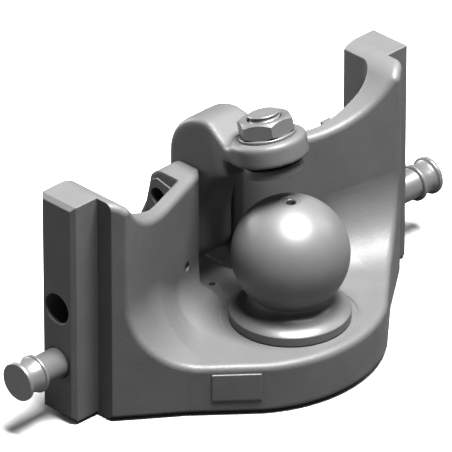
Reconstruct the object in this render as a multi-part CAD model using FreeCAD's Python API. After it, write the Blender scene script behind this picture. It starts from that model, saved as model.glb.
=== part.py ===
"""Tractor ball hitch: a cast block that slides in the ladder rails of a tractor, with an 80 mm ball,
a hold-down arm that swings up over its pivot, and two plug-in pins that lock the block at its height.

Millimetres. The origin is the ball's centre, +Z is up, +Y points to the tractor, X runs across.
"""
import math
import os

import FreeCAD
import Part

Vec = FreeCAD.Vector

# Ball, its collar and its shank
BALL_R = 40.0
TOP_FLAT_R = 6.65
CENTRE_HOLE_R = 3.3
CENTRE_HOLE_DEPTH = 9.0
NECK_R = 26.0
FLARE_MID = (28.0, -36.0)
COLLAR_TOP = (35.0, -38.4)
COLLAR_EDGE = (41.0, -41.8)
SHANK_R = 25.0

# Block, levels
BOTTOM_Z = -86.0
FLOOR_Z = -48.6
SPOT_R = 46.5
SPOT_DEPTH = 0.5
BOTTOM_CHAMFER = 4.5
CAST_EDGE_R = 4.5

# Block, outline from above
NOSE_Y = -53.5
NOSE_END = (58.0, -34.5)
FLANK_BEND = (96.6, -0.2)
FLANK_END = (136.8, 30.1)
TAIL_Y = 108.0
TAIL_FOOT_X = 75.0

# Guides that run in the ladder rails
GUIDE_OUT_X = 158.6
GUIDE_IN_X = 127.0
GUIDE_FRONT_Y = 43.7
GUIDE_BACK_Y = 75.2
GUIDE_TOP_Z = 79.6
GUIDE_BOTTOM_Z = -83.4
GUIDE_CHAMFER = 3.1
GUIDE_HOLE_R = 11.0
GUIDE_SPOT_R = 12.5
UPPER_HOLE_Z = -2.0
LOWER_HOLE_Z = -42.8

# Wall behind the ball, seen from above and from the front
WALL_APEX_Y = 73.6
WALL_SLOPE = 0.389
COVES = ((0.0, 26.0), (57.35, 26.0), (82.0, 44.0), (140.0, 53.0))
VALLEY_X = 66.0
VALLEY_Z = 42.4
VALLEY_R = 70.0
SHOULDER_R = 20.0

# Pockets behind the wall, each with a rib
WALL_BACK_START_Y = 69.1
WALL_BACK = ((60.0, 60.3), (80.0, 52.6), (112.0, 46.7), (127.0, 46.7))
POCKET_Z = -58.0
POCKET_CORNER_R = 11.0
RIB_X = (104.6, 113.0)
RIB_TOP_Z = 28.5

# Clevis for the arm
CHEEK_T = 19.5
SLOT_CHAMFER = (4.2, 5.2)
SLOT_CHAMFER_Y = 70.1
CHEEK_BACK = ((95.6, 31.4), (99.4, 14.8), (106.9, -1.3), (108.0, -10.0))
CHEEK_CORNER_R = 11.0
LOCK_Y = 87.0
LOCK_Z = 23.0
LOCK_R = 6.5

# Hold-down arm
ARM_HALF = 16.5
ARM_SIDE_GAP = 0.5
LEG_FRONT_Y = 70.0
LEG_BACK_Y = 98.7
PIVOT_Z = -19.0
ARCH_R = 52.7
CREST = (64.0, 81.0)
ARM_EDGE_R = 2.5
PRESS_TILT = 15.0
BOSS_R = 25.6
BOSS_T = (68.6, 84.0)
BOSS_EDGE_R = 3.5
FLARE_S = 39.0

# Pivot of the arm
PIN_R = 9.0
BUSH_T = 2.0
BUSH_IN_X = 1.5
PIN_OVERHANG = 4.0
RING_T = 1.6
RING_R = (8.0, 11.5)
NIPPLE_R = 3.0

# Spindle with its foot, washer and lock nut, as distances from the ball's centre
SPINDLE_R = 11.0
FOOT_R = 20.0
FOOT_T = (58.5, 65.5)
WASHER_R = 19.5
WASHER_TOP_T = 86.0
NUT_TOP_T = 97.0
NUT_FLATS = 34.0
NUT_TURN = 17.3
SPINDLE_END_T = 100.0

# Retainer under the block
RECESS_R = 42.0
RECESS_TOP_Z = -76.0
PLATE_R = 41.0
PLATE_T = 8.0
SCREW_CIRCLE_R = 15.0
SCREW_R = 4.0
SCREW_HEAD_R = 8.0
SCREW_TIP_Z = -62.0
SOCKET_FLATS = 5.0
SOCKET_DEPTH = 3.0

# Plug-in pins: radii, and distances from the inner and the outer face of the guide
LOCK_PIN_R = 10.5
LOCK_PIN_INSIDE = 6.0
RAIL_ROOM = 19.4
LOCK_PIN_GRIP = ((12.3, 0.0), (13.3, 1.0), (13.3, 2.2), (12.5, 3.0), (12.5, 12.6), (11.4, 13.6), (11.4, 14.5),
                 (13.5, 15.0), (13.5, 17.0), (12.7, 17.8), (0, 17.8))

# Fits, small holes and the bare label pad
RUN_GAP = 0.05
WASHER_GAP = 0.4
SMALL_EDGE = 1.0
TAP_R = 2.5
WALL_TAP = (-38.8, -19.0)
WALL_TAP_DEPTH = 6.0
FLOOR_TAP = (-6.8, 67.0)
FLOOR_TAP_DEPTH = 12.0
PAD_FROM = 16.0
PAD_LENGTH = 33.0
PAD_Z = (-74.0, -54.5)
PAD_RAISE = 1.0
FAR = 200.0

SLOT_HALF = ARM_HALF + ARM_SIDE_GAP
TAIL_X = SLOT_HALF + CHEEK_T
RING_X = (TAIL_X, TAIL_X + RING_T)
PIN_END_X = TAIL_X + PIN_OVERHANG
PIVOT_Y = (LEG_FRONT_Y + LEG_BACK_Y) / 2
GUIDE_MID_Y = (GUIDE_FRONT_Y + GUIDE_BACK_Y) / 2
SPOT_Z = FLOOR_Z - SPOT_DEPTH


def box(low, high):
    """A block between two corners."""
    return Part.makeBox(high[0] - low[0], high[1] - low[1], high[2] - low[2], Vec(*low))


def bar_x(radius, start, end, y, z):
    """A round bar along X."""
    return Part.makeCylinder(radius, end - start, Vec(start, y, z), Vec(1, 0, 0))


def prism(points, way):
    """A closed outline of straight edges, pushed along a vector."""
    return Part.Face(Part.makePolygon([*points, points[0]])).extrude(way)


def arc_point(centre, radius, degrees):
    """A point on a circle in the XZ plane."""
    angle = math.radians(degrees)
    return Vec(centre.x + radius * math.cos(angle), 0, centre.z + radius * math.sin(angle))


def mirrored(shape):
    """The same piece on the other side of the middle plane."""
    return shape.mirror(Vec(0, 0, 0), Vec(1, 0, 0))


def fuse(first, *rest):
    """One solid from several that meet."""
    return first.fuse(list(rest)).removeSplitter()


def turned(points):
    """A turned piece: an outline of radius and height, spun about Z."""
    outline = Part.makePolygon([Vec(r, 0, z) for r, z in [*points, points[0]]])
    return Part.Face(outline).revolve(Vec(0, 0, 0), Vec(0, 0, 1), 360)


def on_press_axis(shape):
    """Leans a piece built on Z back onto the axis of the spindle."""
    placed = shape.copy()
    placed.rotate(Vec(0, 0, 0), Vec(1, 0, 0), -PRESS_TILT)
    return placed


def hexagon(flats, low, high, turn):
    """A six-sided block standing on Z."""
    corner = flats / math.sqrt(3)
    angles = [math.radians(turn + 60 * k) for k in range(6)]
    points = [Vec(corner * math.cos(a), corner * math.sin(a), low) for a in angles]
    return prism(points, Vec(0, 0, high - low))


def outline_block():
    """The block at full height in its outline from above, its lower edge chamfered."""
    right = [Vec(*p, BOTTOM_Z) for p in
             (NOSE_END, FLANK_BEND, FLANK_END, (FLANK_END[0], GUIDE_FRONT_Y),
              (GUIDE_OUT_X - GUIDE_CHAMFER, GUIDE_FRONT_Y), (GUIDE_OUT_X, GUIDE_FRONT_Y + GUIDE_CHAMFER),
              (GUIDE_OUT_X, GUIDE_BACK_Y - GUIDE_CHAMFER), (GUIDE_OUT_X - GUIDE_CHAMFER, GUIDE_BACK_Y),
              (TAIL_FOOT_X, GUIDE_BACK_Y), (TAIL_X, TAIL_Y))]
    left = [Vec(-p.x, p.y, p.z) for p in reversed(right)]
    nose = Part.Arc(left[-1], Vec(0, NOSE_Y, BOTTOM_Z), right[0]).toShape()
    wire = Part.Wire([nose, *Part.makePolygon([*right, *left]).Edges])
    block = Part.Face(wire).extrude(Vec(0, 0, GUIDE_TOP_Z - BOTTOM_Z))
    low = [e for e in block.Edges
           if all(v.Z < BOTTOM_Z + 0.01 and v.Y < FLANK_END[1] + 0.01 for v in e.Vertexes)]
    return block.makeChamfer(BOTTOM_CHAMFER, low)


def front_profile():
    """All that lies under the wall's top line, seen from the front: valley, hollow arc, shoulder, guide."""
    hollow = Vec(VALLEY_X, 0, VALLEY_Z + VALLEY_R)
    fall = VALLEY_Z + VALLEY_R - GUIDE_TOP_Z + SHOULDER_R
    shoulder_x = VALLEY_X + math.sqrt((VALLEY_R + SHOULDER_R) ** 2 - fall ** 2)
    shoulder = Vec(shoulder_x, 0, GUIDE_TOP_Z - SHOULDER_R)
    lean = math.degrees(math.atan2(shoulder.z - hollow.z, shoulder.x - hollow.x))
    touch = arc_point(hollow, VALLEY_R, lean)
    low = Vec(VALLEY_X, 0, VALLEY_Z)
    top = Vec(shoulder_x, 0, GUIDE_TOP_Z)
    edge = GUIDE_CHAMFER
    outer = [top, Vec(GUIDE_OUT_X - edge, 0, GUIDE_TOP_Z), Vec(GUIDE_OUT_X, 0, GUIDE_TOP_Z - edge),
             Vec(GUIDE_OUT_X, 0, GUIDE_BOTTOM_Z + edge), Vec(GUIDE_OUT_X - edge, 0, GUIDE_BOTTOM_Z),
             Vec(FLANK_END[0], 0, GUIDE_BOTTOM_Z), Vec(FLANK_END[0], 0, BOTTOM_Z), Vec(0, 0, BOTTOM_Z),
             Vec(0, 0, VALLEY_Z), low]
    edges = [Part.Arc(low, arc_point(hollow, VALLEY_R, (lean - 90) / 2), touch).toShape(),
             Part.Arc(touch, arc_point(shoulder, SHOULDER_R, (lean + 270) / 2), top).toShape(),
             *Part.makePolygon(outer).Edges]
    half = Part.Face(Part.Wire(edges)).extrude(Vec(0, 2 * FAR, 0))
    half.translate(Vec(0, -FAR, 0))
    return fuse(half, mirrored(half))


def bowl():
    """The space over the floor on the right, in front of the slanted wall, with the cove at its foot."""
    sections = []
    for x, radius in COVES:
        wall_y = WALL_APEX_Y - WALL_SLOPE * x
        centre = Vec(x, wall_y - radius, FLOOR_Z + radius)
        corner = radius * math.sqrt(0.5)
        cove = Part.Arc(Vec(x, wall_y, centre.z), centre + Vec(0, corner, -corner), Vec(x, centre.y, FLOOR_Z))
        rest = [Vec(x, centre.y, FLOOR_Z), Vec(x, -FAR, FLOOR_Z), Vec(x, -FAR, FAR), Vec(x, wall_y, FAR),
                Vec(x, wall_y, centre.z)]
        sections.append(Part.Wire([cove.toShape(), *Part.makePolygon(rest).Edges]))
    return Part.makeLoft(sections, True, True)


def rear_pocket():
    """The pocket behind the right wing, open to the back."""
    plan = [(TAIL_X, WALL_BACK_START_Y), *WALL_BACK, (GUIDE_IN_X, FAR), (TAIL_X, FAR)]
    pocket = prism([Vec(x, y, POCKET_Z) for x, y in plan], Vec(0, 0, FAR))
    corner = [e for e in pocket.Edges
              if all(abs(v.X - GUIDE_IN_X) + abs(v.Y - WALL_BACK[-1][1]) < 0.01 for v in e.Vertexes)]
    return pocket.makeFillet(POCKET_CORNER_R, corner)


def cheek_back():
    """What is taken off behind the clevis, seen from the side."""
    centre_y = CHEEK_BACK[0][0] - CHEEK_CORNER_R
    corner = CHEEK_CORNER_R * math.sqrt(0.5)
    start = Vec(-SPOT_R, centre_y, VALLEY_Z)
    bend = Part.Arc(start, Vec(-SPOT_R, centre_y + corner, VALLEY_Z - CHEEK_CORNER_R + corner),
                    Vec(-SPOT_R, *CHEEK_BACK[0]))
    rest = [Vec(-SPOT_R, y, z) for y, z in CHEEK_BACK]
    rest += [Vec(-SPOT_R, FAR, CHEEK_BACK[-1][1]), Vec(-SPOT_R, FAR, FAR), Vec(-SPOT_R, centre_y, FAR),
             start]
    outline = Part.Wire([bend.toShape(), *Part.makePolygon(rest).Edges])
    return Part.Face(outline).extrude(Vec(2 * SPOT_R, 0, 0))


def slot_chamfer():
    """The slanted side of the window in front of the clevis, on the right."""
    across, forward = SLOT_CHAMFER
    step = Vec(across, -forward, 0)
    edge = Vec(SLOT_HALF, SLOT_CHAMFER_Y, FLOOR_Z)
    points = [edge - step / 2, edge + step * 2, edge + step * 2 - Vec(3 * across, forward, 0)]
    return prism(points, Vec(0, 0, FAR))


def label_pad():
    """The bare raised pad on the left flank."""
    start = Vec(-FLANK_BEND[0], FLANK_BEND[1], PAD_Z[0])
    along = Vec(-NOSE_END[0], NOSE_END[1], PAD_Z[0]) - start
    along.normalize()
    out = Vec(along.y, -along.x, 0)
    low = start + along * PAD_FROM
    high = low + along * PAD_LENGTH
    return prism([low - out, high - out, high + out * PAD_RAISE, low + out * PAD_RAISE],
                 Vec(0, 0, PAD_Z[1] - PAD_Z[0]))


def middle(edge):
    """The point halfway along an edge."""
    return edge.valueAt((edge.FirstParameter + edge.LastParameter) / 2)


def is_upright(edge):
    """Whether an edge runs straight up."""
    point = middle(edge)
    return all(abs(v.X - point.x) + abs(v.Y - point.y) < 0.01 for v in edge.Vertexes)


def round_casting(block, outline):
    """Rounds the rim of the bowl, the front edge of the wall's top, and the wall's upright ends."""
    sides = Part.Compound([f for f in outline.Faces if abs(f.normalAt(0, 0).z) < 0.01])
    rounded = []
    for edge in block.Edges:
        point = middle(edge)
        off_wall = abs(point.y - WALL_APEX_Y + WALL_SLOPE * abs(point.x))
        if is_upright(edge):
            wanted = edge.Length > 60 and off_wall < 1.0 and abs(point.x) > FLANK_BEND[0]
        elif point.z > VALLEY_Z - 0.01:
            wanted = off_wall < 0.02 or point.y < FLANK_END[1]
        else:
            wanted = (point.z > BOTTOM_Z + 2 * BOTTOM_CHAMFER and point.y < FLANK_END[1]
                      and sides.distToShape(Part.Vertex(point))[0] < 0.001)
        if wanted:
            rounded.append(edge)
    return block.makeFillet(CAST_EDGE_R, rounded)


def hitch_body():
    """The cast block."""
    outline = outline_block()
    space = bowl()
    block = outline.common(front_profile()).cut([space, mirrored(space)]).removeSplitter()
    pocket = rear_pocket()
    body = round_casting(block, outline).cut([pocket, mirrored(pocket), cheek_back()])
    rib = box((RIB_X[0], WALL_BACK[2][1] - 2, POCKET_Z - 2), (RIB_X[1], GUIDE_BACK_Y, RIB_TOP_Z))
    body = fuse(body, rib, mirrored(rib), label_pad())
    chamfer = slot_chamfer()
    slot = box((-SLOT_HALF, SPOT_R - 6, FLOOR_Z), (SLOT_HALF, FAR, FAR))
    spot = Part.makeCylinder(SPOT_R, 4, Vec(0, 0, SPOT_Z))
    shank = Part.makeCylinder(SHANK_R, FAR, Vec(0, 0, BOTTOM_Z))
    recess = Part.makeCylinder(RECESS_R, RECESS_TOP_Z - BOTTOM_Z, Vec(0, 0, BOTTOM_Z))
    cross = [bar_x(PIN_R, -FAR / 4, FAR / 4, PIVOT_Y, PIVOT_Z),
             bar_x(LOCK_R, -FAR / 4, FAR / 4, LOCK_Y, LOCK_Z)]
    for z in (UPPER_HOLE_Z, LOWER_HOLE_Z):
        hole = bar_x(GUIDE_HOLE_R, GUIDE_IN_X, FAR, GUIDE_MID_Y, z)
        seat = bar_x(GUIDE_SPOT_R, GUIDE_IN_X - POCKET_CORNER_R, GUIDE_IN_X, GUIDE_MID_Y, z)
        cross += [hole, mirrored(hole), seat, mirrored(seat)]
    tap_y = WALL_APEX_Y - WALL_SLOPE * abs(WALL_TAP[0])
    tap_start = Vec(WALL_TAP[0], tap_y - WALL_TAP_DEPTH, WALL_TAP[1])
    wall_tap = Part.makeCylinder(TAP_R, 2 * WALL_TAP_DEPTH, tap_start, Vec(0, 1, 0))
    floor_tap = Part.makeCylinder(TAP_R, FLOOR_TAP_DEPTH, Vec(*FLOOR_TAP, FLOOR_Z - FLOOR_TAP_DEPTH))
    body = body.cut([slot, chamfer, mirrored(chamfer), spot, shank, recess, *cross, wall_tap, floor_tap])
    return body.removeSplitter()


def retainer_screw_places():
    """Where the four screws under the ball stand."""
    reach = SCREW_CIRCLE_R * math.sqrt(0.5)
    return [Vec(x * reach, y * reach, 0) for x, y in ((-1, -1), (1, -1), (1, 1), (-1, 1))]


def moved(shape, place):
    """A copy of a piece at another place."""
    placed = shape.copy()
    placed.translate(place)
    return placed


def ball_stud():
    """Ball, neck, collar and shank in one turned piece."""
    neck_z = -math.sqrt(BALL_R ** 2 - NECK_R ** 2)
    flat_z = math.sqrt(BALL_R ** 2 - TOP_FLAT_R ** 2)
    neck = Vec(NECK_R, 0, neck_z)
    ball = Part.Arc(neck, Vec(BALL_R, 0, 0), Vec(TOP_FLAT_R, 0, flat_z))
    points = [(TOP_FLAT_R, flat_z), (0, flat_z), (0, RECESS_TOP_Z), (SHANK_R, RECESS_TOP_Z),
              (SHANK_R, SPOT_Z), (COLLAR_EDGE[0], SPOT_Z), COLLAR_EDGE, COLLAR_TOP]
    flare = Part.Arc(Vec(COLLAR_TOP[0], 0, COLLAR_TOP[1]), Vec(FLARE_MID[0], 0, FLARE_MID[1]), neck)
    edges = [ball.toShape(), *Part.makePolygon([Vec(r, 0, z) for r, z in points]).Edges, flare.toShape()]
    stud = Part.Face(Part.Wire(edges)).revolve(Vec(0, 0, 0), Vec(0, 0, 1), 360)
    hole = Part.makeCylinder(CENTRE_HOLE_R, FAR, Vec(0, 0, flat_z - CENTRE_HOLE_DEPTH))
    tap = Part.makeCylinder(SCREW_R, SCREW_TIP_Z - RECESS_TOP_Z, Vec(0, 0, RECESS_TOP_Z))
    return stud.cut([hole, *(moved(tap, place) for place in retainer_screw_places())])


def retainer_screw(place):
    """A countersunk screw with its socket, standing on its head."""
    head_z = RECESS_TOP_Z - PLATE_T
    cone = SCREW_HEAD_R - SCREW_R
    screw = turned([(0, head_z), (SCREW_HEAD_R, head_z), (SCREW_R, head_z + cone), (SCREW_R, SCREW_TIP_Z),
                    (0, SCREW_TIP_Z)])
    return moved(screw.cut(hexagon(SOCKET_FLATS, head_z, head_z + SOCKET_DEPTH, 0)), place)


def ball_retainer_plate():
    """The plate under the block that holds the ball stud down."""
    head_z = RECESS_TOP_Z - PLATE_T
    plate = turned([(0, head_z), (PLATE_R - SMALL_EDGE, head_z), (PLATE_R, head_z + SMALL_EDGE),
                    (PLATE_R, RECESS_TOP_Z), (0, RECESS_TOP_Z)])
    cone = SCREW_HEAD_R - SCREW_R
    seat = turned([(0, head_z), (SCREW_HEAD_R, head_z), (SCREW_R, head_z + cone), (SCREW_R, RECESS_TOP_Z),
                   (0, RECESS_TOP_Z)])
    return plate.cut([moved(seat, place) for place in retainer_screw_places()])


def hold_down_arm():
    """The hooked arm: round foot at the pivot, leg, arch over the ball and boss for the spindle."""
    tilt = math.radians(PRESS_TILT)
    axis = Vec(0, math.sin(tilt), math.cos(tilt))
    back = Vec(0, math.cos(tilt), -math.sin(tilt))
    foot_r = (LEG_BACK_Y - LEG_FRONT_Y) / 2
    arch_y = LEG_FRONT_Y - ARCH_R
    step_foot = back * BOSS_R - Vec(0, arch_y, 0)
    run = step_foot.dot(axis)
    step_t = -run + math.sqrt(run ** 2 + ARCH_R ** 2 - step_foot.dot(step_foot))
    step = axis * step_t + back * BOSS_R
    spring = Vec(0, LEG_FRONT_Y, 0)
    turn = math.atan2(step.z, step.y - arch_y) / 2
    arch = Part.Arc(spring, Vec(0, arch_y + ARCH_R * math.cos(turn), ARCH_R * math.sin(turn)), step)
    crest = Vec(0, *CREST)
    crest_r = LEG_BACK_Y - crest.y
    shoulder = Vec(0, LEG_BACK_Y, crest.z - crest_r)
    corner = crest_r * math.sqrt(0.5)
    over = Part.Arc(crest, Vec(0, crest.y + corner, shoulder.z + corner), shoulder)
    top = [step, axis * BOSS_T[0] + back * BOSS_R, axis * BOSS_T[0], axis * (BOSS_T[1] - BOSS_EDGE_R),
           axis * (BOSS_T[1] - BOSS_EDGE_R) + back * (BOSS_R - BOSS_EDGE_R), crest]
    foot = Part.Arc(Vec(0, LEG_BACK_Y, PIVOT_Z), Vec(0, PIVOT_Y, PIVOT_Z - foot_r),
                    Vec(0, LEG_FRONT_Y, PIVOT_Z))
    edges = [arch.toShape(), *Part.makePolygon(top).Edges, over.toShape(),
             Part.makeLine(shoulder, Vec(0, LEG_BACK_Y, PIVOT_Z)), foot.toShape(),
             Part.makeLine(Vec(0, LEG_FRONT_Y, PIVOT_Z), spring)]
    profile = Part.Face(Part.Wire(edges))
    side = moved(profile, Vec(-BOSS_R, 0, 0)).extrude(Vec(2 * BOSS_R, 0, 0))
    leg = moved(profile, Vec(-ARM_HALF, 0, 0)).extrude(Vec(2 * ARM_HALF, 0, 0))
    back_edges = [e for e in leg.Edges if middle(e).y > PIVOT_Y and abs(abs(middle(e).x) - ARM_HALF) < 0.01]
    leg = leg.makeFillet(ARM_EDGE_R, back_edges)
    reach = math.hypot(FLARE_S, ARM_HALF)
    touch = math.atan2(ARM_HALF, FLARE_S) + math.acos(BOSS_R / reach)
    touch_x = BOSS_R * math.sin(touch)
    touch_s = BOSS_R * math.cos(touch)
    plan = prism([Vec(ARM_HALF, FLARE_S, -FAR / 2), Vec(touch_x, touch_s, -FAR / 2),
                  Vec(-touch_x, touch_s, -FAR / 2), Vec(-ARM_HALF, FLARE_S, -FAR / 2)], Vec(0, 0, FAR))
    drum = Part.makeCylinder(BOSS_R, FAR, Vec(0, 0, -FAR / 2))
    hook = side.common(on_press_axis(fuse(plan, drum))).fuse(leg)
    boss = Part.makeCylinder(BOSS_R, BOSS_T[1] - BOSS_T[0], Vec(0, 0, BOSS_T[0]))
    top_edge = [e for e in boss.Edges if len(e.Vertexes) == 1 and e.Vertexes[0].Z > BOSS_T[1] - 0.01]
    arm = fuse(hook, on_press_axis(boss.makeFillet(BOSS_EDGE_R, top_edge)))
    press = on_press_axis(Part.makeCylinder(SPINDLE_R + RUN_GAP, FAR))
    return arm.cut([press, bar_x(PIN_R + BUSH_T, -ARM_HALF - 1, ARM_HALF + 1, PIVOT_Y, PIVOT_Z),
                    bar_x(LOCK_R, -ARM_HALF - 1, ARM_HALF + 1, LOCK_Y, LOCK_Z)])


def pivot_bush():
    """The right bearing bush of the arm."""
    outer = bar_x(PIN_R + BUSH_T, BUSH_IN_X, ARM_HALF, PIVOT_Y, PIVOT_Z)
    return outer.cut(bar_x(PIN_R + RUN_GAP, 0, 2 * ARM_HALF, PIVOT_Y, PIVOT_Z))


def pivot_ring():
    """The right retaining ring, open at the bottom."""
    ring = bar_x(RING_R[1], RING_X[0], RING_X[1], PIVOT_Y, PIVOT_Z)
    half_gap = 2 * SMALL_EDGE
    gap = box((RING_X[0] - 1, PIVOT_Y - half_gap, PIVOT_Z - FAR),
              (RING_X[1] + 1, PIVOT_Y + half_gap, PIVOT_Z))
    return ring.cut([bar_x(RING_R[0], RING_X[0] - 1, RING_X[1] + 1, PIVOT_Y, PIVOT_Z), gap])


def pivot_pin():
    """The pin of the arm, with a groove at each end and a tapped hole for the grease nipple."""
    pin = bar_x(PIN_R, -PIN_END_X, PIN_END_X, PIVOT_Y, PIVOT_Z)
    pin = pin.makeChamfer(SMALL_EDGE, [e for e in pin.Edges if len(e.Vertexes) == 1])
    groove = bar_x(PIN_R + 1, RING_X[0], RING_X[1], PIVOT_Y, PIVOT_Z)
    groove = groove.cut(bar_x(RING_R[0], RING_X[0], RING_X[1], PIVOT_Y, PIVOT_Z))
    return pin.cut([groove, mirrored(groove), bar_x(NIPPLE_R, PIN_END_X - 6, FAR, PIVOT_Y, PIVOT_Z)])


def grease_nipple():
    """The nipple in the right end of the pin."""
    nipple = turned([(0, -6), (NIPPLE_R, -6), (NIPPLE_R, 0), (4.5, 0), (4.5, 3), (2.0, 5), (2.0, 6.5),
                     (3.2, 7.5), (3.2, 8.5), (1.5, 10.5), (0, 10.5)])
    nipple.rotate(Vec(0, 0, 0), Vec(0, 1, 0), 90)
    nipple.translate(Vec(PIN_END_X, PIVOT_Y, PIVOT_Z))
    return nipple


def pressure_spindle():
    """The adjusting spindle with its wide foot over the ball."""
    edge = SMALL_EDGE
    spindle = turned([(0, FOOT_T[0]), (FOOT_R - edge, FOOT_T[0]), (FOOT_R, FOOT_T[0] + edge),
                      (FOOT_R, FOOT_T[1] - edge), (FOOT_R - edge, FOOT_T[1]), (SPINDLE_R, FOOT_T[1]),
                      (SPINDLE_R, SPINDLE_END_T - 2 * edge), (SPINDLE_R - 2 * edge, SPINDLE_END_T),
                      (0, SPINDLE_END_T)])
    return on_press_axis(spindle)


def spindle_washer():
    """The washer under the lock nut."""
    ring = Part.makeCylinder(WASHER_R, WASHER_TOP_T - BOSS_T[1], Vec(0, 0, BOSS_T[1]))
    return on_press_axis(ring.cut(Part.makeCylinder(SPINDLE_R + WASHER_GAP, FAR)))


def lock_nut():
    """The lock nut, its corners turned off on top."""
    corner = NUT_FLATS / math.sqrt(3)
    drop = (corner - NUT_FLATS / 2) * math.tan(math.radians(30))
    cone = turned([(0, WASHER_TOP_T), (corner, WASHER_TOP_T), (corner, NUT_TOP_T - drop),
                   (NUT_FLATS / 2, NUT_TOP_T), (0, NUT_TOP_T)])
    nut = hexagon(NUT_FLATS, WASHER_TOP_T, NUT_TOP_T, -45 + NUT_TURN).common(cone)
    return on_press_axis(nut.cut(Part.makeCylinder(SPINDLE_R + RUN_GAP, FAR)))


def locking_pin():
    """The right plug-in pin: shank, collar, grip and grooved head."""
    start = GUIDE_IN_X - LOCK_PIN_INSIDE
    collar = GUIDE_OUT_X + RAIL_ROOM
    shank = [(0, start), (LOCK_PIN_R - 2 * SMALL_EDGE, start), (LOCK_PIN_R, start + 2 * SMALL_EDGE),
             (LOCK_PIN_R, collar)]
    pin = turned([*shank, *((r, collar + x) for r, x in LOCK_PIN_GRIP)])
    pin.rotate(Vec(0, 0, 0), Vec(0, 1, 0), 90)
    pin.translate(Vec(0, GUIDE_MID_Y, LOWER_HOLE_Z))
    return pin


PIECES = {
    "hitch_body": hitch_body(),
    "ball_stud": ball_stud(),
    "ball_retainer_plate": ball_retainer_plate(),
    "hold_down_arm": hold_down_arm(),
    "pivot_pin": pivot_pin(),
    "grease_nipple": grease_nipple(),
    "pressure_spindle": pressure_spindle(),
    "spindle_washer": spindle_washer(),
    "lock_nut": lock_nut(),
}
for number, spot in enumerate(retainer_screw_places(), 1):
    PIECES[f"retainer_screw_{number}"] = retainer_screw(spot)
PAIRS = {"pivot_bush": pivot_bush(), "retaining_ring": pivot_ring(), "locking_pin": locking_pin()}
for name, piece in PAIRS.items():
    PIECES[f"{name}_right"] = piece
    PIECES[f"{name}_left"] = mirrored(piece)

os.makedirs("parts", exist_ok=True)
for name, shape in PIECES.items():
    shape.exportStep(f"parts/{name}.step")
    print(name, shape.isValid(), len(shape.Solids), len(shape.Faces), round(shape.Volume / 1000, 1), "cm3")
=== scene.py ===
"""Tractor ball hitch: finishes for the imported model, turned and threaded pieces, and a plain studio."""
import math

import bmesh
import bpy
from mathutils import Matrix, Vector


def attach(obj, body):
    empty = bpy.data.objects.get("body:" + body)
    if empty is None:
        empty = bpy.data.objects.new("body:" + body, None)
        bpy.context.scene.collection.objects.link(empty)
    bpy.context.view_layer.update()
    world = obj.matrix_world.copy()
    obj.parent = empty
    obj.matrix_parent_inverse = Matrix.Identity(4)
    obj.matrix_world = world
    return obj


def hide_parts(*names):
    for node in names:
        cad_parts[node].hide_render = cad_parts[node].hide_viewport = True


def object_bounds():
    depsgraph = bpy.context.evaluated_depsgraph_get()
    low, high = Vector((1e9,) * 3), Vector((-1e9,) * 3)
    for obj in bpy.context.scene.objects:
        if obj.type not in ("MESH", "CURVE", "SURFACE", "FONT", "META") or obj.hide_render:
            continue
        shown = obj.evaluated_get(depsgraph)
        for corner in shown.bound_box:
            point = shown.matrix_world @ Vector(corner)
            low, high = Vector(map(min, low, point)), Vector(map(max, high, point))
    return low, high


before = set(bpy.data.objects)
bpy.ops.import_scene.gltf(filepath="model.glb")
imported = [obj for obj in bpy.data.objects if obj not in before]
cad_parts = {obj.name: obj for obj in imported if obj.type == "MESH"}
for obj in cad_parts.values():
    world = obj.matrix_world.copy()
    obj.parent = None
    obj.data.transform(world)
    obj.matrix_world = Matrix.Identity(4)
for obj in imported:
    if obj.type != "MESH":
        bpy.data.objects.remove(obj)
cad_box = [list(corner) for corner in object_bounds()]

MM = 0.001

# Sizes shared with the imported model, in millimetres
BALL_R = 40.0
SPINDLE_R = 11.0
SPINDLE_FOOT = (58.5, 65.5, 20.0)
SPINDLE_END = 100.0
PRESS_TILT = math.radians(15)
PIN_Y = 59.45
PIN_Z = -42.8
NUT_FLATS = 34.0
NUT_SPAN = (86.0, 97.0)
NUT_TURN = math.radians(-31.5)
WASHER_SPAN = (84.0, 86.0)
WASHER_R = 19.5
PIVOT_AT = (84.35, -19.0)
LOCK_AT = (87.0, 23.0)
LOCK_R = 6.5

# Details that the scene adds, in millimetres
NECK_R = 26.0
BALL_FLAT_R = 6.65
FOOT_EDGE = 1.2
FOOT_CORNER = 0.3
FOOT_HOLLOW = (14.0, 0.6)
SPINDLE_TIP = (0.5, 0.9, 0.5)
THREAD_PITCH = 2.5
THREAD_DEPTH = 0.8
THREAD_INSET = 1.6
RIDGE_SHARE = 0.42
RIDGE_SUNK = 0.2
CREST_DROP = 0.1
CREST_HALF = 0.15
WASHER_PLAY = 0.4
WASHER_EDGES = (0.2, 0.3, 0.4, 0.3)
NUT_BORE_R = 11.05
NUT_OUTER_R = 19.9
NUT_FACES_R = (17.2, 16.2)
NUT_CORNERS = (1.5, 2.4)
NUT_MOUTH = (12.2, 1.0)
LUG_SPAN = (35.5, 38.0)
LUG_OUTLINE = ((66.0, 4.3), (98.9, 11.5), (97.9, 14.8), (94.1, 31.0), (92.8, 34.0), (88.5, 36.6),
               (66.0, 31.6))

# The arm's skin, and how far from its boss, pivot and lock hole the edges stay crisp, in millimetres
SKIN_STEP = 0.9
SKIN_ROUNDS = 4
CAST_ROUNDS = 24
SKIN_PULL = 0.5
BOSS_CRISP_R = 26.6
PIVOT_CRISP_R = 13.0
LOCK_CRISP_R = 8.5

# How finely the pieces are meshed; the two gaps are in metres
TURN_STEPS = 128
BALL_STEPS = 48
THREAD_STEPS = 36
HOLE_STEPS = 64
PIECE_GAP = 0.000005
HELPER_GAP = 0.000001
SMOOTH_ANGLE = math.radians(28)

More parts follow.
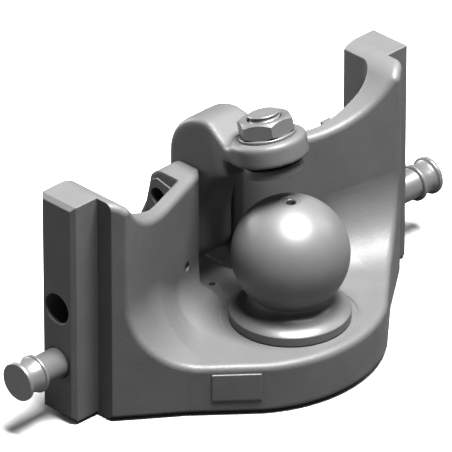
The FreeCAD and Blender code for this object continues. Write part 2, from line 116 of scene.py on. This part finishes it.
# Shader values, lengths in metres
BEVEL_SAMPLES = 6
RUB_START = 0.97
RUB_CONTRAST = 6.0
FINE_DETAIL = 4.0
COARSE_DETAIL = 5.0
COARSE_SHARE = 0.35
ROUGHNESS_SPREAD = 0.08
BUMP_HEIGHT = 0.0004
MIDDLE_REACH = (0.045, 0.06)

# The photograph's view, in metres
AIM = Vector((-0.02405, 0.03661, 0.01537))
VIEW_WIDTH = 0.3005
VIEW_DISTANCE = 6.0
VIEW_CLIP = 30.0
SENSOR_WIDTH = 36.0
AZIMUTH = math.radians(-45)
ELEVATION = math.radians(30)

# The studio: tones are what the camera sees and what is thrown back at the part
FLOOR_GAP = 0.0002
FLOOR_R = 1.2
FLOOR_STEPS = 96
FLOOR_TONES = (0.75, 0.16)
FLOOR_ROUGHNESS = 0.95
SKY_TONES = (1.0, 0.11)
GAMMA = 0.7
# Name, place, side in metres and power in watts
LIGHTS = (("top", (-0.02, -0.36, 1.58), 0.8, 118), ("side", (1.3, -0.5, 0.9), 0.6, 5),
          ("back", (-0.35, 1.7, 0.22), 0.9, 32))


# Shader groups

def new_group(name, inputs, outputs):
    """An empty shader group with named number sockets, and its two end nodes."""
    group = bpy.data.node_groups.new(name, "ShaderNodeTree")
    for label, value in inputs:
        socket = group.interface.new_socket(label, in_out="INPUT", socket_type="NodeSocketFloat")
        socket.default_value = value
    for label in outputs:
        group.interface.new_socket(label, in_out="OUTPUT", socket_type="NodeSocketFloat")
    return group, group.nodes.new("NodeGroupInput"), group.nodes.new("NodeGroupOutput")


def link(tree, start, end):
    """Joins an output socket to an input socket."""
    tree.links.new(start, end)


def grain_group():
    """Fine and coarse unevenness of a metal surface: a height, and a mask of darker blotches."""
    group, start, end = new_group("surface_grain", [("Fine Scale", 900.0), ("Coarse Scale", 60.0)],
                                  ["Height", "Blotches"])
    place = group.nodes.new("ShaderNodeTexCoord")
    fine = group.nodes.new("ShaderNodeTexNoise")
    coarse = group.nodes.new("ShaderNodeTexNoise")
    for noise, socket, detail in ((fine, "Fine Scale", FINE_DETAIL), (coarse, "Coarse Scale", COARSE_DETAIL)):
        noise.inputs["Detail"].default_value = detail
        link(group, place.outputs["Object"], noise.inputs["Vector"])
        link(group, start.outputs[socket], noise.inputs["Scale"])
    mix = group.nodes.new("ShaderNodeMath")
    mix.operation = "MULTIPLY_ADD"
    mix.inputs[1].default_value = COARSE_SHARE
    link(group, coarse.outputs["Fac"], mix.inputs[0])
    link(group, fine.outputs["Fac"], mix.inputs[2])
    link(group, mix.outputs[0], end.inputs["Height"])
    link(group, coarse.outputs["Fac"], end.inputs["Blotches"])
    return group


def edge_group():
    """A mask of the edges where handling has rubbed a piece bright."""
    group, start, end = new_group("edge_rub", [("Width", 0.0012), ("Contrast", RUB_CONTRAST)], ["Mask"])
    bevel = group.nodes.new("ShaderNodeBevel")
    bevel.samples = BEVEL_SAMPLES
    face = group.nodes.new("ShaderNodeNewGeometry")
    match = group.nodes.new("ShaderNodeVectorMath")
    match.operation = "DOT_PRODUCT"
    turned_away = group.nodes.new("ShaderNodeMath")
    turned_away.operation = "SUBTRACT"
    turned_away.inputs[0].default_value = RUB_START
    strength = group.nodes.new("ShaderNodeMath")
    strength.operation = "MULTIPLY"
    strength.use_clamp = True
    link(group, start.outputs["Width"], bevel.inputs["Radius"])
    link(group, bevel.outputs["Normal"], match.inputs[0])
    link(group, face.outputs["Normal"], match.inputs[1])
    link(group, match.outputs["Value"], turned_away.inputs[1])
    link(group, turned_away.outputs[0], strength.inputs[0])
    link(group, start.outputs["Contrast"], strength.inputs[1])
    link(group, strength.outputs[0], end.inputs["Mask"])
    return group


GRAIN = grain_group()
EDGES = edge_group()


# Materials

def blend_colour(tree, mask, base, over):
    """A mix by a mask of a base, which is a colour or a socket, and a second colour."""
    mix = tree.nodes.new("ShaderNodeMix")
    mix.data_type = "RGBA"
    link(tree, mask, mix.inputs["Factor"])
    if isinstance(base, tuple):
        mix.inputs["A"].default_value = base
    else:
        link(tree, base, mix.inputs["A"])
    mix.inputs["B"].default_value = over
    return mix.outputs["Result"]


def greys(*values):
    """Neutral greys of the given values."""
    return [(value, value, value, 1.0) for value in values]


def rounder_middle(tree, edge, middle):
    """An edge radius that grows from the machined guides to the cheeks in the middle of the block."""
    place = tree.nodes.new("ShaderNodeTexCoord")
    split = tree.nodes.new("ShaderNodeSeparateXYZ")
    away = tree.nodes.new("ShaderNodeMath")
    away.operation = "ABSOLUTE"
    radius = tree.nodes.new("ShaderNodeMapRange")
    near, far = MIDDLE_REACH
    for socket, value in (("From Min", near), ("From Max", far), ("To Min", middle), ("To Max", edge)):
        radius.inputs[socket].default_value = value
    link(tree, place.outputs["Object"], split.inputs[0])
    link(tree, split.outputs["X"], away.inputs[0])
    link(tree, away.outputs[0], radius.inputs["Value"])
    return radius.outputs["Result"]


def metal(name, tones, metallic, roughness, fine, coarse, bump, edge, middle=None):
    """A metal finish: base, dark and bright tones in blotches and rubbed edges, fine bump, rounded edges."""
    base, dark, bright = tones
    material = bpy.data.materials.new(name)
    material.use_nodes = True
    tree = material.node_tree
    shader = tree.nodes["Principled BSDF"]
    grain = tree.nodes.new("ShaderNodeGroup")
    grain.node_tree = GRAIN
    grain.inputs["Fine Scale"].default_value = fine
    grain.inputs["Coarse Scale"].default_value = coarse
    edges = tree.nodes.new("ShaderNodeGroup")
    edges.node_tree = EDGES
    edges.inputs["Width"].default_value = edge
    tone = blend_colour(tree, grain.outputs["Blotches"], base, dark)
    link(tree, blend_colour(tree, edges.outputs["Mask"], tone, bright), shader.inputs["Base Color"])
    rough = tree.nodes.new("ShaderNodeMapRange")
    rough.inputs["To Min"].default_value = roughness - ROUGHNESS_SPREAD
    rough.inputs["To Max"].default_value = roughness + ROUGHNESS_SPREAD
    link(tree, grain.outputs["Blotches"], rough.inputs["Value"])
    link(tree, rough.outputs["Result"], shader.inputs["Roughness"])
    soft = tree.nodes.new("ShaderNodeBevel")
    soft.samples = BEVEL_SAMPLES
    soft.inputs["Radius"].default_value = edge
    if middle:
        link(tree, rounder_middle(tree, edge, middle), soft.inputs["Radius"])
    height = tree.nodes.new("ShaderNodeBump")
    height.inputs["Strength"].default_value = bump
    height.inputs["Distance"].default_value = BUMP_HEIGHT
    link(tree, grain.outputs["Height"], height.inputs["Height"])
    link(tree, soft.outputs["Normal"], height.inputs["Normal"])
    link(tree, height.outputs["Normal"], shader.inputs["Normal"])
    shader.inputs["Metallic"].default_value = metallic
    return material


CASTING = metal("cast_block_grey", greys(0.16, 0.125, 0.23), metallic=0.0, roughness=0.5, fine=700,
                coarse=45, bump=0.3, edge=0.0013, middle=0.0038)
ARM_CASTING = metal("arm_grey", greys(0.15, 0.12, 0.23), metallic=0.0, roughness=0.48, fine=700,
                    coarse=45, bump=0.3, edge=0.003)
LUG_CASTING = metal("lug_grey", greys(0.16, 0.125, 0.23), metallic=0.0, roughness=0.5, fine=700,
                    coarse=45, bump=0.3, edge=0.0006)
BALL_STEEL = metal("turned_ball_steel", greys(0.2, 0.165, 0.26), metallic=0.2, roughness=0.42, fine=1600,
                   coarse=80, bump=0.04, edge=0.0006)
PLATE_STEEL = metal("plate_steel", greys(0.42, 0.35, 0.55), metallic=0.6, roughness=0.42, fine=900,
                    coarse=60, bump=0.2, edge=0.0008)
PIN_STEEL = metal("ground_pin_steel", greys(0.27, 0.22, 0.34), metallic=0.4, roughness=0.34, fine=1500,
                  coarse=90, bump=0.08, edge=0.0006)
SPINDLE_STEEL = metal("spindle_steel", greys(0.22, 0.17, 0.3), metallic=0.3, roughness=0.4, fine=1400,
                      coarse=90, bump=0.1, edge=0.0004)
ZINC = metal("zinc_plate", greys(0.2, 0.16, 0.28), metallic=0.3, roughness=0.4, fine=1300,
             coarse=120, bump=0.1, edge=0.0004)
BRASS_TONES = ((0.5, 0.42, 0.24, 1.0), (0.42, 0.34, 0.19, 1.0), (0.62, 0.54, 0.34, 1.0))
BRASS = metal("plain_brass", BRASS_TONES, metallic=0.9, roughness=0.32, fine=1200,
              coarse=80, bump=0.1, edge=0.0005)

CAD_FINISH = {
    "hitch_body": CASTING, "ball_retainer_plate": PLATE_STEEL,
    "retainer_screw_1": ZINC, "retainer_screw_2": ZINC, "retainer_screw_3": ZINC, "retainer_screw_4": ZINC,
    "pivot_pin": PIN_STEEL, "retaining_ring_left": ZINC, "retaining_ring_right": ZINC, "grease_nipple": BRASS,
    "pivot_bush_left": BRASS, "pivot_bush_right": BRASS,
}
for node, finish in CAD_FINISH.items():
    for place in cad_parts[node].material_slots:
        place.material = finish


# Helpers for the pieces made here; all their lengths are in millimetres

def press_axis():
    """Turns a piece built on Z onto the leaning axis of the spindle."""
    return Matrix.Rotation(-PRESS_TILT, 4, "X")


def pin_axis(side):
    """Turns a piece built on Z onto the axis of the left or right locking pin."""
    return Matrix.Translation((0, PIN_Y * MM, PIN_Z * MM)) @ Matrix.Rotation(side * math.pi / 2, 4, "Y")


def turn(bm, profile):
    """Adds a turned shape to a mesh: points of radius and height, spun about Z."""
    verts = [bm.verts.new((r * MM, 0, z * MM)) for r, z in profile]
    edges = [bm.edges.new(pair) for pair in zip(verts, verts[1:])]
    bmesh.ops.spin(bm, geom=verts + edges, cent=(0, 0, 0), axis=(0, 0, 1), angle=2 * math.pi,
                   steps=TURN_STEPS, use_merge=True)


def arc(centre_r, centre_z, radius, start, end, steps):
    """Points of a profile along an arc, angles in degrees from the outward direction."""
    angles = [math.radians(start + (end - start) * k / steps) for k in range(steps + 1)]
    return [(centre_r + radius * math.cos(a), centre_z + radius * math.sin(a)) for a in angles]


def mesh_object(name, bm):
    """A helper object for a boolean or a skin, which is taken away again after it."""
    bmesh.ops.remove_doubles(bm, verts=bm.verts, dist=HELPER_GAP)
    bmesh.ops.recalc_face_normals(bm, faces=bm.faces)
    mesh = bpy.data.meshes.new(name)
    bm.to_mesh(mesh)
    bm.free()
    helper = bpy.data.objects.new(name, mesh)
    bpy.context.scene.collection.objects.link(helper)
    return helper


def modified(helper):
    """The helper's mesh with its modifiers carried out, as a mesh of its own."""
    bpy.context.view_layer.update()
    bm = bmesh.new()
    bm.from_mesh(helper.evaluated_get(bpy.context.evaluated_depsgraph_get()).to_mesh())
    bpy.data.objects.remove(helper)
    return bm


def combined(first, second, operation):
    """A boolean of two meshes, as a mesh of its own."""
    kept = mesh_object("boolean_first", first)
    tool = mesh_object("boolean_second", second)
    step = kept.modifiers.new("boolean", "BOOLEAN")
    step.operation = operation
    step.object = tool
    bm = modified(kept)
    bpy.data.objects.remove(tool)
    return bm


def finish_piece(name, bm, place, material, slot, body, *nodes):
    """Makes a mesh a piece of the model that rides with its body and stands for its solids, if any."""
    bmesh.ops.transform(bm, matrix=place, verts=bm.verts)
    bmesh.ops.remove_doubles(bm, verts=bm.verts, dist=PIECE_GAP)
    bmesh.ops.recalc_face_normals(bm, faces=bm.faces)
    for face in bm.faces:
        face.smooth = True
    for edge in bm.edges:
        edge.smooth = len(edge.link_faces) == 2 and edge.calc_face_angle(0) < SMOOTH_ANGLE
    mesh = bpy.data.meshes.new(name)
    bm.to_mesh(mesh)
    bm.free()
    piece = bpy.data.objects.new(name, mesh)
    bpy.context.scene.collection.objects.link(piece)
    mesh.materials.append(material)
    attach(piece, body)
    if nodes:
        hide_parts(*nodes)


# Pieces made here in place of plain solids, and the lock lugs, which are added

def ball():
    """Ball with its centre hole, necked down to a coned collar, and its shank."""
    neck = math.degrees(-math.acos(NECK_R / BALL_R))
    flat = math.degrees(math.acos(BALL_FLAT_R / BALL_R))
    shank = [(0, -76.0), (25.0, -76.0), (25.0, -49.1)]
    collar = [(40.2, -49.1), (41.0, -48.3), (41.0, -42.4), (40.4, -41.6)]
    flare = [(35.6, -38.6), (33.6, -38.1), (30.6, -37.2), (28.4, -35.8), (26.9, -33.6), (26.2, -31.6)]
    hole = [(6.3, 39.0), (4.1, 39.0), (3.3, 38.2), (3.3, 30.4), (0, 28.6)]
    bm = bmesh.new()
    turn(bm, shank + collar + flare + arc(0, 0, BALL_R, neck, flat, BALL_STEPS) + hole)
    finish_piece("ball_with_collar", bm, Matrix.Identity(4), BALL_STEEL, "forged_ball", "block", "ball_stud")


def thread(bm, low, high):
    """A helical ridge on the spindle."""
    root = SPINDLE_R - THREAD_DEPTH - RIDGE_SUNK
    crest = SPINDLE_R - CREST_DROP
    half = THREAD_PITCH * RIDGE_SHARE
    ridge = ((root, -half), (crest, -CREST_HALF), (crest, CREST_HALF), (root, half))
    face = bm.faces.new([bm.verts.new((r * MM, 0, (low + z) * MM)) for r, z in ridge])
    steps = THREAD_STEPS * int((high - low) / THREAD_PITCH)
    rise = THREAD_PITCH / THREAD_STEPS * MM
    bmesh.ops.spin(bm, geom=[face], cent=(0, 0, 0), axis=(0, 0, 1), dvec=(0, 0, rise),
                   angle=2 * math.pi * steps / THREAD_STEPS, steps=steps)


def spindle():
    """Spindle with its foot and its thread."""
    low, high, foot = SPINDLE_FOOT
    hollow_r, hollow = FOOT_HOLLOW
    ring, ring_low, ring_high = SPINDLE_TIP
    root = SPINDLE_R - THREAD_DEPTH
    sole = [(0, low + hollow), (hollow_r, low), (foot - FOOT_EDGE, low),
            (foot - FOOT_CORNER, low + FOOT_CORNER), (foot, low + FOOT_EDGE)]
    back = [(foot, high - FOOT_EDGE), (foot - FOOT_CORNER, high - FOOT_CORNER), (foot - FOOT_EDGE, high),
            (root + FOOT_EDGE, high), (root, high + FOOT_EDGE)]
    tip = [(root, SPINDLE_END - FOOT_EDGE), (root + ring, SPINDLE_END - ring_low),
           (root + ring, SPINDLE_END - ring_high), (root, SPINDLE_END), (0, SPINDLE_END)]
    bm = bmesh.new()
    turn(bm, sole + back + tip)
    thread(bm, high + THREAD_INSET, SPINDLE_END - THREAD_INSET)
    finish_piece("threaded_spindle", bm, press_axis(), SPINDLE_STEEL, "spindle_steel", "spindle",
                 "pressure_spindle")


def washer():
    """Washer with its edges broken."""
    low, high = WASHER_SPAN
    bore_low, rim_low, rim_high, bore_high = WASHER_EDGES
    bore = SPINDLE_R + WASHER_PLAY
    bm = bmesh.new()
    turn(bm, [(bore, low + bore_low), (bore + bore_low, low),
              (WASHER_R - rim_low, low), (WASHER_R, low + rim_low),
              (WASHER_R, high - rim_high), (WASHER_R - rim_high, high),
              (bore + bore_high, high), (bore, high - bore_high), (bore, low + bore_low)])
    finish_piece("nut_washer", bm, press_axis(), ZINC, "fasteners", "arm", "spindle_washer")


def nut():
    """Lock nut: six flats with their corners turned off, and a coned mouth."""
    low, high = NUT_SPAN
    low_face_r, high_face_r = NUT_FACES_R
    low_corner, high_corner = NUT_CORNERS
    mouth_r, mouth = NUT_MOUTH
    corner_r = NUT_FLATS / math.sqrt(3) * MM
    bm = bmesh.new()
    bmesh.ops.create_cone(bm, cap_ends=True, segments=6, radius1=corner_r, radius2=corner_r,
                          depth=(high - low) * MM)
    bmesh.ops.rotate(bm, verts=bm.verts, matrix=Matrix.Rotation(NUT_TURN, 3, "Z"))
    bmesh.ops.translate(bm, verts=bm.verts, vec=(0, 0, (low + high) / 2 * MM))
    turned = bmesh.new()
    turn(turned, [(NUT_BORE_R, low), (low_face_r, low), (NUT_OUTER_R, low + low_corner),
                  (NUT_OUTER_R, high - high_corner), (high_face_r, high), (mouth_r, high),
                  (NUT_BORE_R, high - mouth), (NUT_BORE_R, low)])
    finish_piece("hexagon_lock_nut", combined(bm, turned, "INTERSECT"), press_axis(), ZINC, "fasteners",
                 "arm", "lock_nut")


def machined(point):
    """Whether a point of the arm is by a bore or on the boss, where edges stay crisp."""
    axis = Vector((0, math.sin(PRESS_TILT), math.cos(PRESS_TILT)))
    from_press = (point - axis * point.dot(axis)).length
    from_pivot = math.hypot(point.y - PIVOT_AT[0] * MM, point.z - PIVOT_AT[1] * MM)
    from_lock = math.hypot(point.y - LOCK_AT[0] * MM, point.z - LOCK_AT[1] * MM)
    return from_press < BOSS_CRISP_R * MM or from_pivot < PIVOT_CRISP_R * MM or from_lock < LOCK_CRISP_R * MM


def cast_arm():
    """The arm with the generous rounds of a casting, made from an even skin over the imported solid."""
    solid = bmesh.new()
    solid.from_mesh(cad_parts["hold_down_arm"].data)
    blank = mesh_object("arm_blank", solid)
    skin = blank.modifiers.new("even skin", "REMESH")
    skin.mode = "VOXEL"
    skin.voxel_size = SKIN_STEP * MM
    bm = modified(blank)
    cast = [v for v in bm.verts if not machined(v.co)]
    for verts, rounds in ((bm.verts, SKIN_ROUNDS), (cast, CAST_ROUNDS)):
        for _ in range(rounds):
            bmesh.ops.smooth_vert(bm, verts=verts, factor=SKIN_PULL, use_axis_x=True, use_axis_y=True,
                                  use_axis_z=True)
    finish_piece("rounded_arm", bm, Matrix.Identity(4), ARM_CASTING, "arm_casting", "arm", "hold_down_arm")


def locking_pin(side, word):
    """Locking pin with its collar, grip, groove and head, all edges broken."""
    shank = [(0, 121.0), (8.2, 121.0), (8.9, 121.2), (10.3, 122.7), (10.5, 123.4), (10.5, 177.6)]
    collar = [(10.7, 178.0), (12.2, 178.0), (12.7, 178.2), (13.2, 178.7), (13.3, 179.1), (13.3, 180.1),
              (13.1, 180.5), (12.6, 180.8), (12.2, 181.0)]
    grip = [(11.9, 181.6), (11.6, 182.8), (11.2, 184.4), (10.8, 186.4), (10.6, 188.2), (10.5, 190.2),
            (10.6, 191.4), (11.0, 192.1), (11.6, 192.5)]
    head = [(12.6, 192.6), (13.2, 192.8), (13.5, 193.3), (13.5, 194.8), (13.3, 195.4), (12.8, 195.8),
            (0, 195.8)]
    bm = bmesh.new()
    turn(bm, shank + collar + grip + head)
    finish_piece(f"turned_pin_{word}", bm, pin_axis(side), PIN_STEEL, "pin_steel", f"pin_{word}",
                 f"locking_pin_{word}")


def lock_lug(side, word):
    """The flat raised band round the lock hole on the outer face of a cheek."""
    inner, outer = LUG_SPAN
    bm = bmesh.new()
    corners = [bm.verts.new((inner * MM, y * MM, z * MM)) for y, z in LUG_OUTLINE]
    plate = bmesh.ops.extrude_face_region(bm, geom=[bm.faces.new(corners)])
    top = [v for v in plate["geom"] if isinstance(v, bmesh.types.BMVert)]
    bmesh.ops.translate(bm, verts=top, vec=((outer - inner) * MM, 0, 0))
    hole = bmesh.new()
    bmesh.ops.create_cone(hole, cap_ends=True, segments=HOLE_STEPS, radius1=LOCK_R * MM,
                          radius2=LOCK_R * MM, depth=4 * outer * MM)
    bmesh.ops.rotate(hole, verts=hole.verts, matrix=Matrix.Rotation(math.pi / 2, 3, "Y"))
    bmesh.ops.translate(hole, verts=hole.verts, vec=(0, LOCK_AT[0] * MM, LOCK_AT[1] * MM))
    finish_piece(f"lock_lug_{word}", combined(bm, hole, "DIFFERENCE"), Matrix.Scale(side, 4, (1, 0, 0)),
                 LUG_CASTING, "casting", "block")


ball()
spindle()
washer()
nut()
cast_arm()
for side, word in ((1, "right"), (-1, "left")):
    locking_pin(side, word)
for side, word in ((1, "right"), (-1, "left")):
    lock_lug(side, word)


# Studio

def toned_for_camera(tree, tones):
    """A value that differs between what the camera sees and what other rays meet."""
    path = tree.nodes.new("ShaderNodeLightPath")
    tone = tree.nodes.new("ShaderNodeMapRange")
    seen, thrown = tones
    tone.inputs["To Min"].default_value = thrown
    tone.inputs["To Max"].default_value = seen
    link(tree, path.outputs["Is Camera Ray"], tone.inputs["Value"])
    return tone.outputs["Result"]


def floor():
    """A plain pale floor under the part, which throws back less light than it shows."""
    material = bpy.data.materials.new("pale_floor")
    material.use_nodes = True
    shader = material.node_tree.nodes["Principled BSDF"]
    link(material.node_tree, toned_for_camera(material.node_tree, FLOOR_TONES), shader.inputs["Base Color"])
    shader.inputs["Roughness"].default_value = FLOOR_ROUGHNESS
    bm = bmesh.new()
    bmesh.ops.create_circle(bm, cap_ends=True, radius=FLOOR_R, segments=FLOOR_STEPS)
    bmesh.ops.translate(bm, verts=bm.verts, vec=(0, 0, cad_box[0][2] - FLOOR_GAP))
    mesh = bpy.data.meshes.new("floor")
    bm.to_mesh(mesh)
    bm.free()
    mesh.materials.append(material)
    ground = bpy.data.objects.new("floor", mesh)
    bpy.context.scene.collection.objects.link(ground)


def sky():
    """Weak even light from all round, and a white backdrop where the camera sees past the floor."""
    world = bpy.data.worlds.new("studio")
    bpy.context.scene.world = world
    world.use_nodes = True
    back = world.node_tree.nodes["Background"]
    back.inputs["Color"].default_value = (1, 1, 1, 1)
    link(world.node_tree, toned_for_camera(world.node_tree, SKY_TONES), back.inputs["Strength"])


def soft_light(name, where, size, power):
    """A square soft light aimed at the part."""
    data = bpy.data.lights.new(name, "AREA")
    data.size = size
    data.energy = power
    lamp = bpy.data.objects.new(name, data)
    lamp.location = where
    lamp.rotation_euler = (AIM - Vector(where)).to_track_quat("-Z", "Y").to_euler()
    bpy.context.scene.collection.objects.link(lamp)


def camera():
    """A very long lens at the photograph's angle."""
    data = bpy.data.cameras.new("view")
    data.sensor_width = SENSOR_WIDTH
    data.lens = SENSOR_WIDTH * VIEW_DISTANCE / VIEW_WIDTH
    data.clip_end = VIEW_CLIP
    back = Vector((math.sin(AZIMUTH) * math.cos(ELEVATION), -math.cos(AZIMUTH) * math.cos(ELEVATION),
                   math.sin(ELEVATION)))
    eye = bpy.data.objects.new("view", data)
    eye.location = AIM + back * VIEW_DISTANCE
    eye.rotation_euler = (-back).to_track_quat("-Z", "Y").to_euler()
    bpy.context.scene.collection.objects.link(eye)
    bpy.context.scene.camera = eye


floor()
sky()
for lamp in LIGHTS:
    soft_light(*lamp)
camera()
bpy.context.scene.view_settings.view_transform = "Standard"
bpy.context.scene.view_settings.gamma = GAMMA
